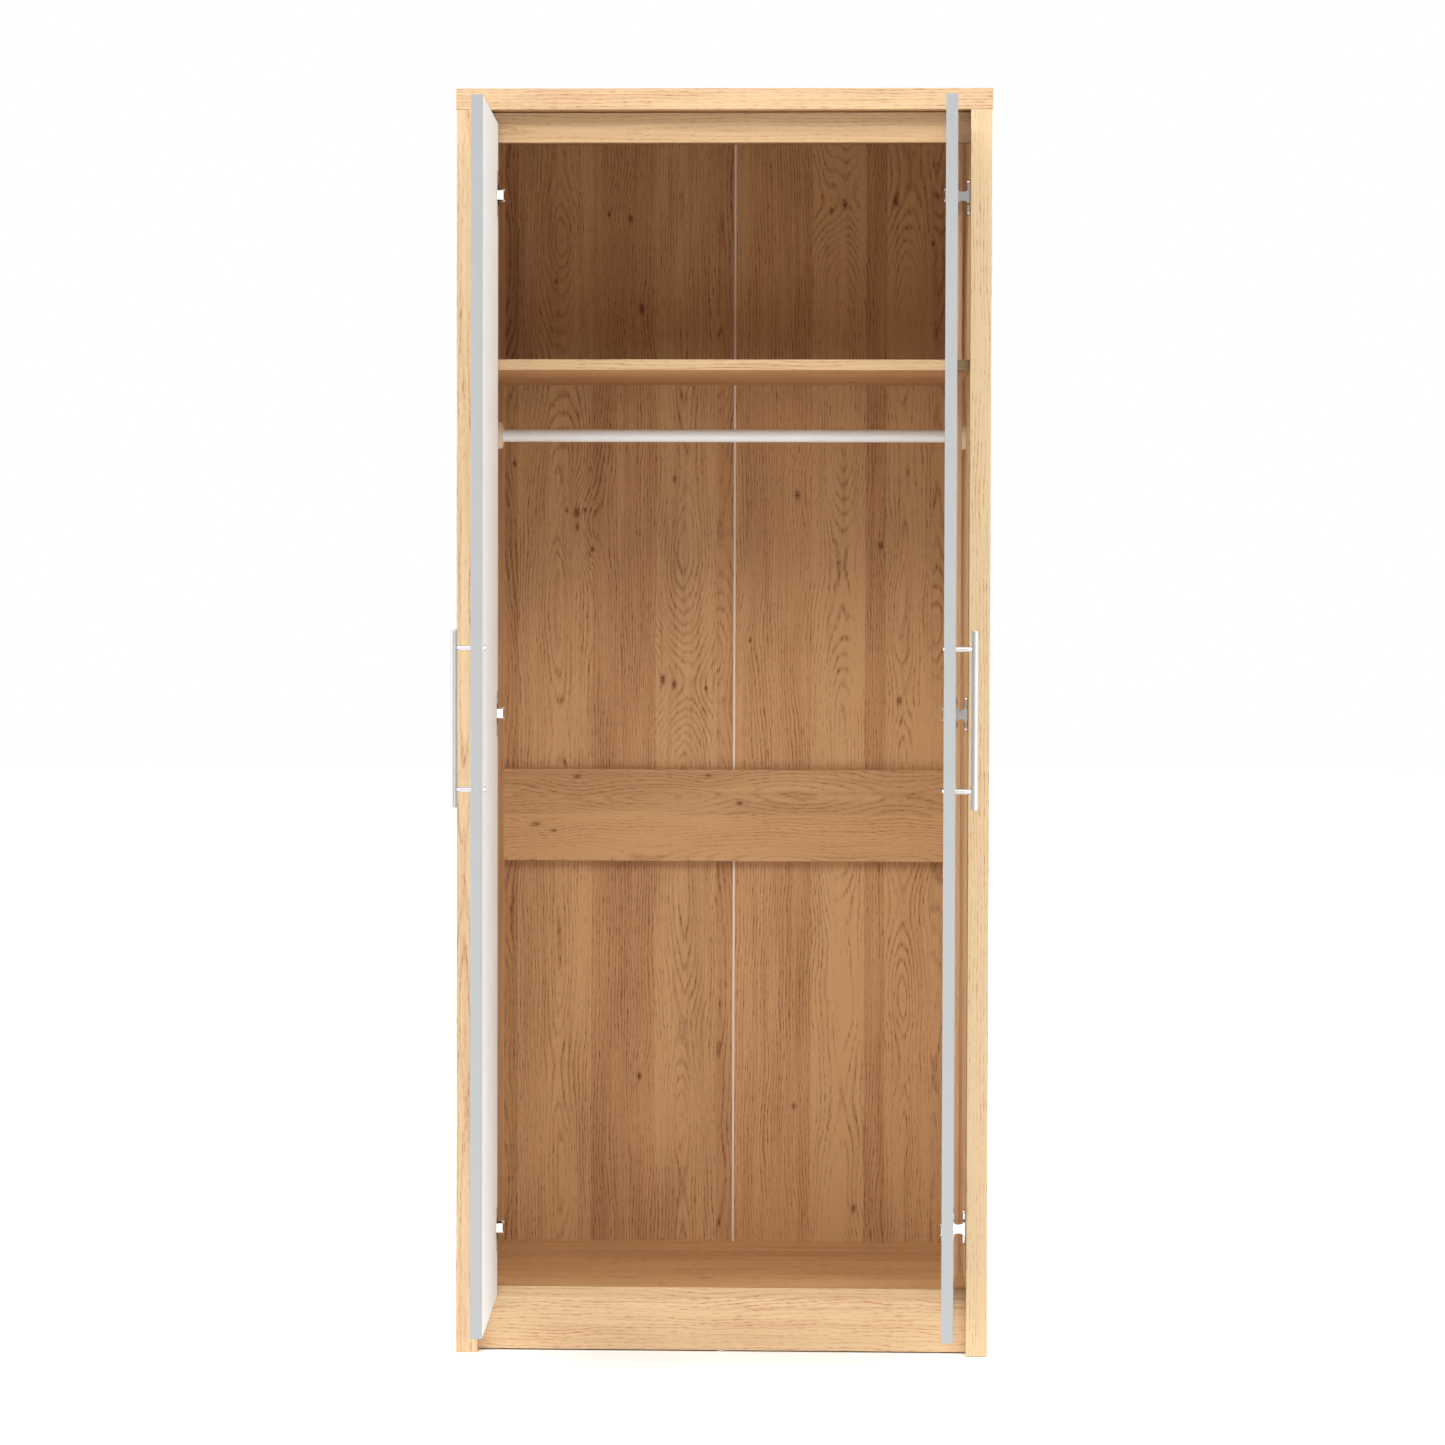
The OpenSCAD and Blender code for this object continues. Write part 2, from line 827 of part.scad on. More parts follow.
module hinge_cup() {
    translate([cup_u, door_inner_v, 0])
        difference() {
            union() {
                translate([0, -cup_depth, 0]) rod_y(cup_d / 2, cup_depth);
                translate([0, flange_t, 0]) rotate([90, 0, 0])
                    linear_extrude(flange_t) flange_outline();
            }
            translate([0, -cup_depth + cup_floor, 0])
                rod_y(cup_d / 2 - cup_wall, cup_depth + flange_t);
            for (dz = [-1, 1])
                translate([flange_offset, -over, dz * flange_pitch / 2])
                    rod_y(cup_screw_d / 2, flange_t + 2 * over);
        }
}

module hinge_cups(side) {
    color(steel)
        on_door(side)
            for (z = hinge_zs)
                difference() {
                    translate([0, 0, z]) hinge_cup();
                    translate([pin_u, pin_v, z - hinge_pin_half])
                        cylinder(d = hinge_pin_d, h = 2 * hinge_pin_half);
                }
}

module hinge_cups_left() {
    hinge_cups(-1);
}

module hinge_cups_right() {
    hinge_cups(1);
}

module hinge_pins(side) {
    color(steel)
        on_door(side)
            for (z = hinge_zs)
                translate([pin_u, pin_v, z - hinge_pin_half])
                    cylinder(d = hinge_pin_d, h = 2 * hinge_pin_half);
}

module hinge_pins_left() {
    hinge_pins(-1);
}

module hinge_pins_right() {
    hinge_pins(1);
}

module cup_screws(side) {
    color(steel)
        on_door(side)
            for (z = hinge_zs, dz = [-1, 1])
                translate([cup_u + flange_offset, door_inner_v + flange_t,
                           z + dz * flange_pitch / 2])
                    rotate([-90, 0, 0])
                        pan_screw(cup_screw_d, cup_screw_len, cup_screw_head_d,
                                  cup_screw_head_h);
}

module cup_screws_left() {
    cup_screws(-1);
}

module cup_screws_right() {
    cup_screws(1);
}

// ---- Doors ----

// Holes for a handle's two screws, right through a door
module handle_holes() {
    for (dz = [-1, 1])
        translate([handle_u, door_recess - over, door_mid_z + dz * post_pitch / 2])
            rod_y(handle_hole_d / 2, door_t + 2 * over);
}

module door_board(side) {
    color(white)
        on_door(side)
            difference() {
                translate([door_side_gap + edging_t, door_recess + facing_t, door_z + edging_t])
                    cube([door_w - 2 * edging_t, door_t - facing_t, door_h - 2 * edging_t]);
                for (z = hinge_zs) {
                    translate([cup_u, door_inner_v - cup_depth, z])
                        rod_y(cup_d / 2, cup_depth + over);
                    for (dz = [-1, 1])
                        translate([cup_u + flange_offset, door_inner_v + flange_t - cup_screw_len,
                                   z + dz * flange_pitch / 2])
                            rod_y(cup_screw_d / 2, cup_screw_len);
                }
                handle_holes();
            }
}

module door_board_left() {
    door_board(-1);
}

module door_board_right() {
    door_board(1);
}

module door_facing(side) {
    color(grey)
        on_door(side)
            difference() {
                translate([door_side_gap + edging_t, door_recess, door_z + edging_t])
                    cube([door_w - 2 * edging_t, facing_t, door_h - 2 * edging_t]);
                handle_holes();
            }
}

module door_facing_left() {
    door_facing(-1);
}

module door_facing_right() {
    door_facing(1);
}

module door_edging(side) {
    color(grey)
        on_door(side)
            translate([door_side_gap, door_recess, door_z])
                difference() {
                    eased_board([door_w, door_t, door_h], edge_r);
                    translate([edging_t, -over, edging_t])
                        cube([door_w - 2 * edging_t, door_t + 2 * over,
                              door_h - 2 * edging_t]);
                }
}

module door_edging_left() {
    door_edging(-1);
}

module door_edging_right() {
    door_edging(1);
}

// ---- Handles ----

// Draws its children in a frame on the door's outer face at the handle's centre,
// with +Z up and -Y away from the door
module handle_frame(side) {
    on_door(side) translate([handle_u, door_recess, door_mid_z]) children();
}

module handle_bar(side) {
    flat_r = bar_d / 2 - bar_end_r;
    color(steel)
        handle_frame(side)
            translate([0, -bar_reach, -bar_len / 2])
                rotate_extrude() {
                    square([flat_r, bar_len]);
                    translate([0, bar_end_r]) square([bar_d / 2, bar_len - 2 * bar_end_r]);
                    for (z = [bar_end_r, bar_len - bar_end_r])
                        translate([flat_r, z])
                            intersection() {
                                circle(r = bar_end_r);
                                translate([0, -bar_end_r]) square([bar_end_r, 2 * bar_end_r]);
                            }
                }
}

module handle_bar_left() {
    handle_bar(-1);
}

module handle_bar_right() {
    handle_bar(1);
}

// A post from the door's face to the bar, necked in where it meets the bar
module handle_post() {
    shank = bar_reach - bar_d / 2 - post_neck_h;
    difference() {
        rotate([90, 0, 0]) {
            cylinder(d = post_d, h = shank);
            translate([0, 0, shank]) cylinder(d1 = post_d, d2 = post_neck_d, h = post_neck_h);
            translate([0, 0, shank + post_neck_h]) cylinder(d = post_neck_d, h = bar_d / 4);
        }
        translate([0, -bar_reach, -bar_len / 2]) cylinder(d = bar_d, h = bar_len);
        translate([0, -handle_screw_in, 0]) rod_y(handle_screw_d / 2, handle_screw_in + over);
    }
}

module handle_posts(side) {
    color(steel)
        handle_frame(side)
            for (dz = [-1, 1]) translate([0, 0, dz * post_pitch / 2]) handle_post();
}

module handle_posts_left() {
    handle_posts(-1);
}

module handle_posts_right() {
    handle_posts(1);
}

module handle_screws(side) {
    color(steel)
        handle_frame(side)
            for (dz = [-1, 1])
                translate([0, door_t, dz * post_pitch / 2]) rotate([-90, 0, 0])
                    pan_screw(handle_screw_d, door_t + handle_screw_in, handle_screw_head_d,
                              handle_screw_head_h);
}

module handle_screws_left() {
    handle_screws(-1);
}

module handle_screws_right() {
    handle_screws(1);
}

side_panel_left();
side_panel_right();
top_panel();
top_rail();
bottom_panel();
plinth_front();
plinth_rear();
plinth_glides();
shelf();
shelf_pins();
back_panel_left();
back_panel_right();
back_joint_strip();
back_batten();
back_nails();
hanging_rail();
rail_socket_left();
rail_socket_right();
rail_socket_screws();
cam_discs();
cam_bolts();
cam_caps();
dowels();
hinge_plates_left();
hinge_plates_right();
hinge_arms_left();
hinge_arms_right();
hinge_plate_screws();
hinge_arm_screws();
door_board_left();
door_facing_left();
door_edging_left();
hinge_cups_left();
hinge_pins_left();
cup_screws_left();
handle_bar_left();
handle_posts_left();
handle_screws_left();
door_board_right();
door_facing_right();
door_edging_right();
hinge_cups_right();
hinge_pins_right();
cup_screws_right();
handle_bar_right();
handle_posts_right();
handle_screws_right();
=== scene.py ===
import math

import bpy
from mathutils import Matrix, Vector


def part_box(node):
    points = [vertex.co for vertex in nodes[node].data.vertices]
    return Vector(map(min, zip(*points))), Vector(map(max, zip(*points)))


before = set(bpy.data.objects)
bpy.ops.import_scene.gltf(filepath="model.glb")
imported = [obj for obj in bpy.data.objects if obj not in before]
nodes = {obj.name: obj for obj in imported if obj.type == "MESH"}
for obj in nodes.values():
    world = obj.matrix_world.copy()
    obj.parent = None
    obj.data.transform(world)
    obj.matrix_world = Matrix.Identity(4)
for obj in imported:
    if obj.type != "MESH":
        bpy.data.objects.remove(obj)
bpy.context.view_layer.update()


# ---- Node helpers ----

class Graph:
    """A material's node tree, with short names for the nodes used here."""

    def __init__(self, name):
        self.mat = bpy.data.materials.new(name)
        self.mat.use_nodes = True
        self.tree = self.mat.node_tree
        self.shader = self.tree.nodes["Principled BSDF"]
        coord = self.tree.nodes.new("ShaderNodeTexCoord")
        self.place = coord.outputs["Object"]
        self.x, self.y, self.z = self.split(self.place)

    def put(self, socket, value):
        if isinstance(value, bpy.types.NodeSocket):
            self.tree.links.new(value, socket)
        else:
            socket.default_value = value

    def split(self, vector):
        node = self.tree.nodes.new("ShaderNodeSeparateXYZ")
        self.put(node.inputs[0], vector)
        return node.outputs

    def vec(self, x, y, z):
        node = self.tree.nodes.new("ShaderNodeCombineXYZ")
        for socket, value in zip(node.inputs, (x, y, z)):
            self.put(socket, value)
        return node.outputs[0]

    def math(self, kind, *values, clamp=False):
        node = self.tree.nodes.new("ShaderNodeMath")
        node.operation = kind
        node.use_clamp = clamp
        for socket, value in zip(node.inputs, values):
            self.put(socket, value)
        return node.outputs[0]

    def add(self, a, b):
        return self.math("ADD", a, b)

    def mul(self, a, b):
        return self.math("MULTIPLY", a, b)

    def swing(self, value, amount):
        """How far value is from one half, times amount."""
        return self.mul(self.add(value, -0.5), amount)

    def noise(self, vector, detail=2.0, rough=0.5):
        node = self.tree.nodes.new("ShaderNodeTexNoise")
        self.put(node.inputs["Vector"], vector)
        node.inputs["Scale"].default_value = 1.0
        node.inputs["Detail"].default_value = detail
        node.inputs["Roughness"].default_value = rough
        return node.outputs["Fac"]

    def random(self, value):
        node = self.tree.nodes.new("ShaderNodeTexWhiteNoise")
        node.noise_dimensions = "1D"
        self.put(node.inputs["W"], value)
        return self.split(node.outputs["Color"])

    def ramp(self, value, *stops):
        """Remaps 0..1 through (position, grey) stops."""
        node = self.tree.nodes.new("ShaderNodeValToRGB")
        self.put(node.inputs[0], value)
        points = node.color_ramp.elements
        while len(points) < len(stops):
            points.new(0.5)
        for point, (at, grey) in zip(points, stops):
            point.position = at
            point.color = (grey, grey, grey, 1)
        return node.outputs[0]

    def between(self, value, low, high, to_low=0.0, to_high=1.0):
        node = self.tree.nodes.new("ShaderNodeMapRange")
        for socket, item in zip(node.inputs, (value, low, high, to_low, to_high)):
            self.put(socket, item)
        return node.outputs[0]

    def steps(self, value, *planks):
        """The three numbers of the plank that value falls in, from the planks' right edges."""
        node = self.tree.nodes.new("ShaderNodeValToRGB")
        node.color_ramp.interpolation = "CONSTANT"
        self.put(node.inputs[0], self.between(value, -0.5, 0.5))
        points = node.color_ramp.elements
        while len(points) < len(planks):
            points.new(0.5)
        start = 0.0
        for point, (edge, shade, red, pith) in zip(points, planks):
            point.position = start
            point.color = (shade, red, 0.5 + edge - pith, 1)
            start = edge + 0.5
        return self.split(node.outputs[0])

    def scaled(self, *factors):
        """The place on the surface, with its axes times one factor or three."""
        factors = factors * 3 if len(factors) == 1 else factors
        return self.vec(*(self.mul(part, k) for part, k in zip((self.x, self.y, self.z), factors)))

    def mix(self, factor, a, b):
        """Colour a where factor is 0, and b where it is 1."""
        node = self.tree.nodes.new("ShaderNodeMix")
        node.data_type = "RGBA"
        self.put(node.inputs[0], factor)
        self.put(node.inputs[6], a)
        self.put(node.inputs[7], b)
        return node.outputs[2]

    def bump(self, height, strength, distance):
        node = self.tree.nodes.new("ShaderNodeBump")
        node.inputs["Strength"].default_value = strength
        node.inputs["Distance"].default_value = distance
        self.put(node.inputs["Height"], height)
        self.tree.links.new(node.outputs[0], self.shader.inputs["Normal"])

    def facing(self, axis):
        """How far the surface faces along an axis, from -1 to 1."""
        node = self.tree.nodes.new("ShaderNodeNewGeometry")
        return self.split(node.outputs["Normal"])[axis]

    def set(self, **values):
        for name, value in values.items():
            self.put(self.shader.inputs[name.replace("_", " ")], value)


def srgb(r, g, b):
    def linear(c):
        c = c / 255
        return c / 12.92 if c <= 0.04045 else ((c + 0.055) / 1.055) ** 2.4
    return (linear(r), linear(g), linear(b), 1.0)


def tinted(colour, *factors):
    """The colour times one factor, or times one for each of its channels."""
    factors = factors * 3 if len(factors) == 1 else factors
    return tuple(c * k for c, k in zip(colour[:3], factors)) + (1.0,)


# ---- Materials ----

INNER_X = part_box("side_panel_right")[0][0]
INNER_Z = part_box("top_panel")[0][2]
# how far past a board's inner face its painted shade, the darker outside colour, starts and is
# whole
PAINTED_SHADE_FROM, PAINTED_SHADE_TO = 0.0005, 0.0015
PLANK_WIDTH = 0.13


def knotted(g, across, along, knots):
    """How far the rings swell round the knots, and how dark the knots themselves are."""
    swell, dark = 0.0, 0.0
    for at_across, at_along, size in knots:
        da = g.mul(g.add(across, -at_across), 1 / size)
        dl = g.mul(g.add(along, -at_along), 0.55 / size)
        near = g.add(g.mul(da, da), g.mul(dl, dl))
        swell = g.add(swell, g.mul(g.math("EXPONENT", g.mul(near, -0.03)), 1.7 * size))
        dark = g.math("MAXIMUM", dark, g.math("EXPONENT", g.mul(near, -3.6)))
    fleck = g.noise(g.vec(g.mul(across, 600), g.mul(along, 400), 1.0), 2.0)
    return swell, g.mul(dark, g.between(fleck, 0.30, 0.58))


def oak(name, light, dark, grain="z", planks=(), ring=0.0048, figure=1.0, knots=(), seed=0.0,
        rough=0.5, shine=0.2, fine=1.0, edge=None, outside_shade=None, back=None, contrast=1.0):
    """Printed oak: planks cut from a log, with its rings, pores, fibres and knots.

    grain is the axis that the fibres run along. A plank is (right edge, shade, redness, pith):
    shade and redness run from 0 to 1, and pith is how far left of the edge the log's middle lies.
    A knot is (across, along, size). Lengths are in metres. edge is the (light, dark) of the faces
    toward the front, the pair after it a darker (light, dark) painted as shade on the outside and
    the top, and back the colour of the rear face."""
    g = Graph(name)
    if grain == "z":
        across, along = g.x if planks else g.add(g.x, g.y), g.z
    else:
        end = g.between(g.math("ABSOLUTE", g.facing(0)), 0.4, 0.6)
        across = g.add(g.z, g.mul(g.y, g.add(1.0, g.mul(end, -1))))
        along = g.add(g.x, g.mul(g.y, end))
    swell, core = knotted(g, across, along, knots) if knots else (0.0, 0.0)

    if planks:
        shade, red, offset = g.steps(across, *planks)
        pith = g.add(across, g.swing(offset, -1))
        index = g.mul(red, 7.0)
    else:
        count = g.mul(g.add(across, 2.0 + seed * 0.37), 1 / PLANK_WIDTH)
        index = g.math("FLOOR", count)
        shade, red, offset = g.random(g.add(index, seed))
        pith = g.swing(g.add(g.math("FRACT", count), g.swing(offset, -1.2)), PLANK_WIDTH)

    def fibrous(per_across, per_along, layer, *detail):
        """Noise with its own scale across and along the fibres, from the given layer of it."""
        place = g.vec(g.mul(across, per_across), g.mul(along, per_along), seed + layer)
        return g.noise(place, *detail)

    pith = g.add(pith, g.swing(fibrous(11, 3.4, 0, 3.0, 0.55), 0.030 * figure))
    dive = g.noise(g.vec(g.mul(along, 1.9), g.mul(index, 3.7), seed), 1.0)
    dive = g.swing(dive, 0.18 * figure)
    radius = g.math("SQRT", g.add(g.mul(pith, pith), g.add(g.mul(dive, dive), 0.00004)))
    drift = fibrous(55, 6, 3)
    turns = g.add(g.mul(g.add(radius, swell), 1 / ring), g.mul(drift, 1.6))
    rings = g.ramp(g.math("FRACT", turns), (0.0, 0.75), (0.16, 0.2), (0.62, 0.0), (0.9, 1.0))
    rings = g.mul(rings, g.between(fibrous(34, 5, 5), 0.36, 0.62, 0.25, 1.0))

    pores = fibrous(620 * fine, 52 * fine, 0, 2.0, 0.6)
    pores = g.mul(g.between(pores, 0.50, 0.62), g.add(0.22, g.mul(rings, 0.78)))
    fibre = fibrous(1300, 16, 1, 2.0, 0.7)
    streak = fibrous(130, 3.5, 4)
    cloud = fibrous(14, 2.6, 2, 3.0)
    tone = g.add(g.mul(rings, 0.40 / fine), g.mul(pores, 0.66))
    for part, weight in ((fibre, 0.36), (streak, 0.55), (cloud, 0.65), (shade, 0.36)):
        tone = g.add(tone, g.swing(part, weight))
    tone = g.add(0.30, g.mul(g.add(tone, -0.20), contrast))
    tone = g.math("ADD", tone, g.mul(core, 0.9), clamp=True)
    colour = g.mix(tone, light, dark)
    warm = g.mix(tone, tinted(light, 0.93, 0.80, 0.74), tinted(dark, 0.98, 0.88, 0.84))
    colour = g.mix(g.mul(g.math("ADD", g.mul(red, 0.6), g.mul(streak, 0.4), clamp=True), 0.65),
                   colour, warm)
    if knots:
        colour = g.mix(g.math("MINIMUM", core, 0.75), colour, tinted(dark, 0.52, 0.40, 0.36))
    # painted shade: the outside and the top faces take a darker copy of the oak
    if outside_shade is not None:
        outside = g.between(g.math("ABSOLUTE", g.x), INNER_X + PAINTED_SHADE_FROM, INNER_X + PAINTED_SHADE_TO)
        above = g.between(g.z, INNER_Z + PAINTED_SHADE_FROM, INNER_Z + PAINTED_SHADE_TO)
        colour = g.mix(g.math("MAXIMUM", outside, above), colour, g.mix(tone, *outside_shade))
    if edge is not None:
        front = g.between(g.facing(1), -0.4, -0.6)
        colour = g.mix(front, colour, g.mix(tone, *edge))
    if back is not None:
        colour = g.mix(g.between(g.facing(1), 0.4, 0.6), colour, back)
    g.set(Base_Color=colour, Roughness=g.between(pores, 0.0, 1.0, rough, rough + 0.15))
    g.shader.inputs["Specular IOR Level"].default_value = shine
    g.bump(g.add(g.mul(pores, -0.6), g.mul(fibre, 0.3)), 0.2, 0.0004)
    return g.mat


def coated(name, base, rough, speck=0.0, coat=0.0, coat_rough=0.03, grain_scale=900.0, bump=0.0,
           shine=0.5):
    """Melamine, lacquer or moulded plastic: a base colour with a faint mottle."""
    g = Graph(name)
    fine = g.noise(g.scaled(grain_scale))
    broad = g.noise(g.scaled(7.0))
    worn = g.add(g.mul(fine, 0.5), g.mul(broad, 0.5))
    dark = tinted(base, 1 - speck)
    g.set(Base_Color=g.mix(g.between(worn, 0.35, 0.65), base, dark),
          Roughness=g.between(broad, 0.3, 0.7, rough * 0.92, rough * 1.08))
    g.shader.inputs["Specular IOR Level"].default_value = shine
    g.shader.inputs["Coat Weight"].default_value = coat
    g.shader.inputs["Coat Roughness"].default_value = coat_rough
    if bump:
        g.bump(fine, bump, 0.0003)
    return g.mat


def metal(name, base, rough, brush=(300.0, 300.0, 300.0), tint=0.12, bump=0.08):
    """Plated or drawn metal, brushed along its least scaled axis."""
    g = Graph(name)
    lines = g.noise(g.scaled(*brush), 3.0, 0.6)
    cloud = g.noise(g.scaled(25.0))
    dark = tinted(base, 1 - tint)
    g.set(Base_Color=g.mix(g.add(g.mul(lines, 0.6), g.mul(cloud, 0.4)), base, dark),
          Roughness=g.between(lines, 0.3, 0.7, rough * 0.85, rough * 1.2))
    g.shader.inputs["Metallic"].default_value = 1.0
    g.bump(lines, bump, 0.0002)
    return g.mat


# the first plank's high shade, 0.90, is partly the plank's own tone and partly painted shade for
# the dim upper left of the inside
LEFT_PLANKS = (
    (-0.332, 0.90, 0.9, 0.02), (-0.215, 0.45, 0.1, 0.05), (-0.118, 0.75, 0.8, 0.14),
    (-0.025, 0.45, 0.2, 0.05), (0.1, 0.80, 0.7, 0.12),
)
RIGHT_PLANKS = (
    (0.020, 0.35, 0.5, 0.10), (0.120, 0.48, 0.8, 0.14), (0.200, 0.12, 0.1, 0.03),
    (0.232, 0.75, 1.0, 0.14), (0.302, 0.20, 0.3, 0.04), (0.4, 0.38, 0.6, 0.09),
)
LEFT_KNOTS = (
    (-0.334, 1.284, 0.005), (-0.239, 1.209, 0.008), (-0.254, 1.213, 0.004), (-0.226, 1.213, 0.004),
    (-0.238, 1.187, 0.005), (-0.215, 1.153, 0.004), (-0.089, 1.261, 0.005), (-0.106, 0.954, 0.007),
    (-0.089, 0.947, 0.006), (-0.040, 0.941, 0.004), (-0.157, 1.657, 0.006), (-0.190, 1.665, 0.004),
    (-0.140, 1.520, 0.008), (-0.271, 1.562, 0.004), (-0.141, 0.345, 0.006),
)
RIGHT_KNOTS = (
    (0.169, 1.680, 0.007), (0.247, 1.683, 0.008), (0.149, 1.670, 0.004), (0.304, 1.619, 0.004),
    (0.099, 1.237, 0.007), (0.226, 1.160, 0.006), (0.027, 1.015, 0.004), (0.256, 0.923, 0.006),
    (0.096, 0.300, 0.005), (0.188, 0.143, 0.006),
)
BATTEN_KNOTS = (
    (1.008, -0.236, 0.005), (0.935, -0.300, 0.006), (0.925, -0.272, 0.004), (1.010, -0.035, 0.004),
    (0.968, 0.012, 0.005),
)
OAK = (srgb(209, 182, 143), srgb(164, 108, 78))
OAK_TOP = (srgb(204, 176, 138), srgb(160, 105, 76))
# a darker copy of the oak for the outside and the top faces: painted shade, as those faces take
# more light
OAK_OUTSIDE_PAINTED_SHADE = (srgb(190, 166, 131), srgb(150, 99, 71))
OAK_RAIL = (srgb(207, 181, 142), srgb(168, 126, 88))
OAK_EDGE = (srgb(196, 166, 127), srgb(154, 109, 74))
# lighter than the front oak: painted light on the side panels' inner faces, which lie in shade
OAK_SIDE_PAINTED_LIGHT = (srgb(223, 192, 149), srgb(170, 122, 86))
OAK_INSIDE = (srgb(202, 164, 118), srgb(142, 95, 61))
OAK_BACK = (srgb(201, 161, 115), srgb(128, 81, 50))
RAW_BACK = srgb(150, 118, 88)
oak_side = oak("oak_side", *OAK_SIDE_PAINTED_LIGHT, seed=1.0, figure=0.5, contrast=1.15, fine=1.15, edge=OAK,
               outside_shade=OAK_OUTSIDE_PAINTED_SHADE)
oak_across = oak("oak_across", *OAK_INSIDE, grain="x", seed=4.0, figure=0.5, contrast=1.15,
                 fine=1.15, edge=OAK_TOP, outside_shade=OAK_OUTSIDE_PAINTED_SHADE)
oak_plinth = oak("oak_plinth", *OAK, grain="x", seed=8.0, figure=1.2, contrast=1.25, fine=1.25)
oak_rail = oak("oak_rail", *OAK_RAIL, grain="x", seed=6.0, figure=0.35, fine=1.5)
oak_board = oak("oak_board", *OAK_INSIDE, grain="x", seed=7.0, figure=0.7, edge=OAK_EDGE)
oak_batten = oak("oak_batten", *OAK_INSIDE, grain="x", seed=11.0, figure=1.1, fine=1.3,
                 knots=BATTEN_KNOTS)
oak_back_left = oak("oak_back_left", *OAK_BACK, seed=2.0, planks=LEFT_PLANKS, knots=LEFT_KNOTS,
                    back=RAW_BACK, contrast=1.15, fine=1.2)
oak_back_right = oak("oak_back_right", *OAK_BACK, seed=5.0, planks=RIGHT_PLANKS,
                     knots=RIGHT_KNOTS, back=RAW_BACK, contrast=1.15, fine=1.2)
beech = oak("beech", srgb(222, 190, 145), srgb(200, 162, 115), grain="x", figure=0.4, seed=9.0)

white_melamine = coated("white_melamine", srgb(217, 215, 213), 0.75, speck=0.02, bump=0.05,
                        shine=0.05)
grey_gloss = coated("grey_gloss", srgb(172, 174, 174), 0.10, speck=0.01, coat=1.0, coat_rough=0.01,
                    grain_scale=300.0)
grey_edging = coated("grey_edging", srgb(150, 152, 152), 0.55, speck=0.03, bump=0.04, shine=0.2)
white_plastic = coated("white_plastic", srgb(222, 218, 210), 0.4, speck=0.03)
strip_plastic = coated("strip_plastic", srgb(226, 212, 196), 0.5, speck=0.03, shine=0.3)
beige_plastic = coated("beige_plastic", srgb(232, 214, 190), 0.5, speck=0.04, bump=0.05, shine=0.3)
cap_plastic = coated("cap_plastic", srgb(215, 172, 126), 0.45, speck=0.05)
rail_paint = coated("rail_paint", srgb(242, 248, 251), 0.35, speck=0.02, coat=0.8, coat_rough=0.3)

nickel = metal("nickel", (0.76, 0.75, 0.73, 1), 0.10)
zinc = metal("zinc", (0.70, 0.70, 0.72, 1), 0.38)
satin = metal("satin_nickel", (0.62, 0.61, 0.60, 1), 0.32, brush=(900.0, 900.0, 30.0), bump=0.05)

LOOKS = {
    "side_panel": oak_side, "top_panel": oak_across, "top_rail": oak_rail,
    "bottom_panel": oak_board, "plinth_front": oak_plinth, "plinth_rear": oak_board,
    "plinth_glides": white_plastic, "shelf": oak_board, "shelf_pins": zinc,
    "back_panel_left": oak_back_left, "back_panel_right": oak_back_right,
    "back_joint_strip": strip_plastic, "back_batten": oak_batten, "back_nails": zinc,
    "hanging_rail": rail_paint, "rail_socket_screws": zinc, "rail_socket": beige_plastic,
    "cam_discs": zinc, "cam_bolts": zinc, "cam_caps": cap_plastic, "dowels": beech,
    "hinge_": nickel, "cup_screws": nickel, "door_board": white_melamine,
    "door_facing": grey_gloss, "door_edging": grey_edging,
    "handle_bar": satin, "handle_posts": satin, "handle_screws": nickel,
}


def look_for(name):
    """The material of the longest entry in LOOKS that the name starts with."""
    starts = [start for start in LOOKS if name.startswith(start)]
    return LOOKS[max(starts, key=len)]


for name, obj in nodes.items():
    obj.data.materials.clear()
    obj.data.materials.append(look_for(name))


# ---- Floor, light and camera ----

def studio_floor(half, front, drop=0.0005):
    mesh = bpy.data.meshes.new("floor")
    corners = [(-half, -front), (half, -front), (half, half), (-half, half)]
    mesh.from_pydata([(x, y, -drop) for x, y in corners], [], [(0, 1, 2, 3)])
    floor = bpy.data.objects.new("floor", mesh)
    bpy.context.scene.collection.objects.link(floor)
    g = Graph("floor_paint")
    mottle = g.noise(g.scaled(3.0))
    g.set(Base_Color=g.mix(mottle, (0.93, 0.93, 0.93, 1), (0.96, 0.96, 0.96, 1)), Roughness=0.9)
    mesh.materials.append(g.mat)


def soft_light(name, at, aim, size, power):
    lamp = bpy.data.lights.new(name, "AREA")
    lamp.shape = "RECTANGLE"
    lamp.size, lamp.size_y = size
    lamp.energy = power
    obj = bpy.data.objects.new(name, lamp)
    obj.location = at
    obj.rotation_euler = (Vector(aim) - Vector(at)).to_track_quat("-Z", "Y").to_euler()
    bpy.context.scene.collection.objects.link(obj)


def photo_camera(at, yaw, pitch, roll, lens):
    """The lens and place that give the photo's perspective, with angles in degrees."""
    yaw, pitch, roll = math.radians(yaw), math.radians(pitch), math.radians(roll)
    ahead = Vector((-math.sin(yaw) * math.cos(pitch), math.cos(yaw) * math.cos(pitch),
                    -math.sin(pitch)))
    right = Vector((math.cos(yaw), math.sin(yaw), 0))
    up = right.cross(ahead)
    turned_right = math.cos(roll) * right + math.sin(roll) * up
    turned_up = math.cos(roll) * up - math.sin(roll) * right
    data = bpy.data.cameras.new("camera")
    data.sensor_width = 36
    data.lens = lens
    data.clip_end = 100
    camera = bpy.data.objects.new("camera", data)
    turn = Matrix((turned_right, turned_up, -ahead)).transposed()
    camera.matrix_world = Matrix.Translation(at) @ turn.to_4x4()
    bpy.context.scene.collection.objects.link(camera)
    bpy.context.scene.camera = camera


